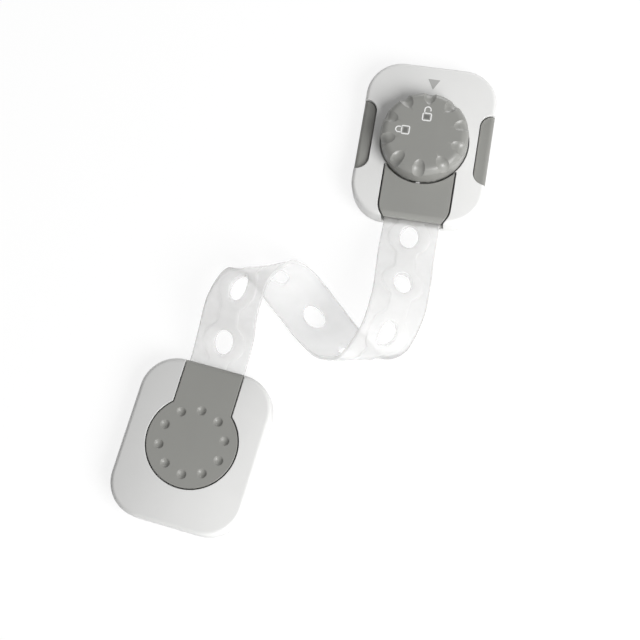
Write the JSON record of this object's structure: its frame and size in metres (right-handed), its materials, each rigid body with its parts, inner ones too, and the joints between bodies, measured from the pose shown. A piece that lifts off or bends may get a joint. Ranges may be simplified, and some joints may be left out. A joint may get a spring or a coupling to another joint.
{
  "type": "cabinet safety lock",
  "caption": "Stick-on cabinet safety lock: latch plate with a turning lock knob and side release buttons, holed flexible strap with a lift-out tongue, and an anchor plate with a keyhole cap.",
  "frame": {"origin": "where the knob's axis meets the latch plate's adhesive face", "axes": "+Z out of the door, +Y from the strap's mouth to the pointer, +X to the right seen from the front"},
  "size_m": [0.1175, 0.1904, 0.0295],
  "materials": {
    "white_plastic": "satin white",
    "grey_plastic": "satin warm grey",
    "natural_plastic": "natural, slippery",
    "clear_strap": "milky translucent, satin",
    "steel": "zinc plated",
    "foam_tape": "matte adhesive foam"
  },
  "bodies": {
    "plates": {"latch_adhesive_pad": "foam_tape", "latch_back_plate": "white_plastic", "latch_housing": "white_plastic", "latch_screws": "steel", "detent_spring": "steel", "latch_fork": "natural_plastic", "left_button_spring": "steel", "right_button_spring": "steel", "strap": "clear_strap", "anchor_housing": "white_plastic", "anchor_back_plate": "white_plastic", "anchor_screws": "steel", "anchor_adhesive_pad": "foam_tape"},
    "knob": {"knob": "grey_plastic", "lock_cam": "grey_plastic", "cam_screw": "steel"},
    "left_button": {"left_button": "grey_plastic"},
    "right_button": {"right_button": "grey_plastic"},
    "tongue": {"tongue_cover": "grey_plastic", "tongue_base": "grey_plastic", "tongue_screws": "steel"},
    "anchor_cap": {"anchor_cap": "grey_plastic"}
  },
  "joints": [
    {"name": "knob_turn", "type": "hinge", "parent": "plates", "child": "knob", "pos_m": [0, 0, 0.01], "axis": [0, 0, 1], "range_deg": [-90, 0], "deforming": ["detent_spring"]},
    {"name": "left_button_press", "type": "slide", "parent": "plates", "child": "left_button", "axis": [1, 0, 0], "range_m": [0, 0.0022], "stiffness_N_per_m": 900, "springref_m": -0.001, "deforming": ["left_button_spring", "latch_fork"]},
    {"name": "right_button_press", "type": "slide", "parent": "plates", "child": "right_button", "axis": [-1, 0, 0], "range_m": [0, 0.0022], "stiffness_N_per_m": 900, "springref_m": -0.001, "deforming": ["right_button_spring"]},
    {"name": "tongue_lift", "type": "slide", "parent": "plates", "child": "tongue", "axis": [0, 0, 1], "range_m": [0, 0.015], "deforming": ["strap"]},
    {"name": "cap_lift", "type": "slide", "parent": "plates", "child": "anchor_cap", "axis": [0, 0, 1], "range_m": [0, 0.012]}
  ]
}
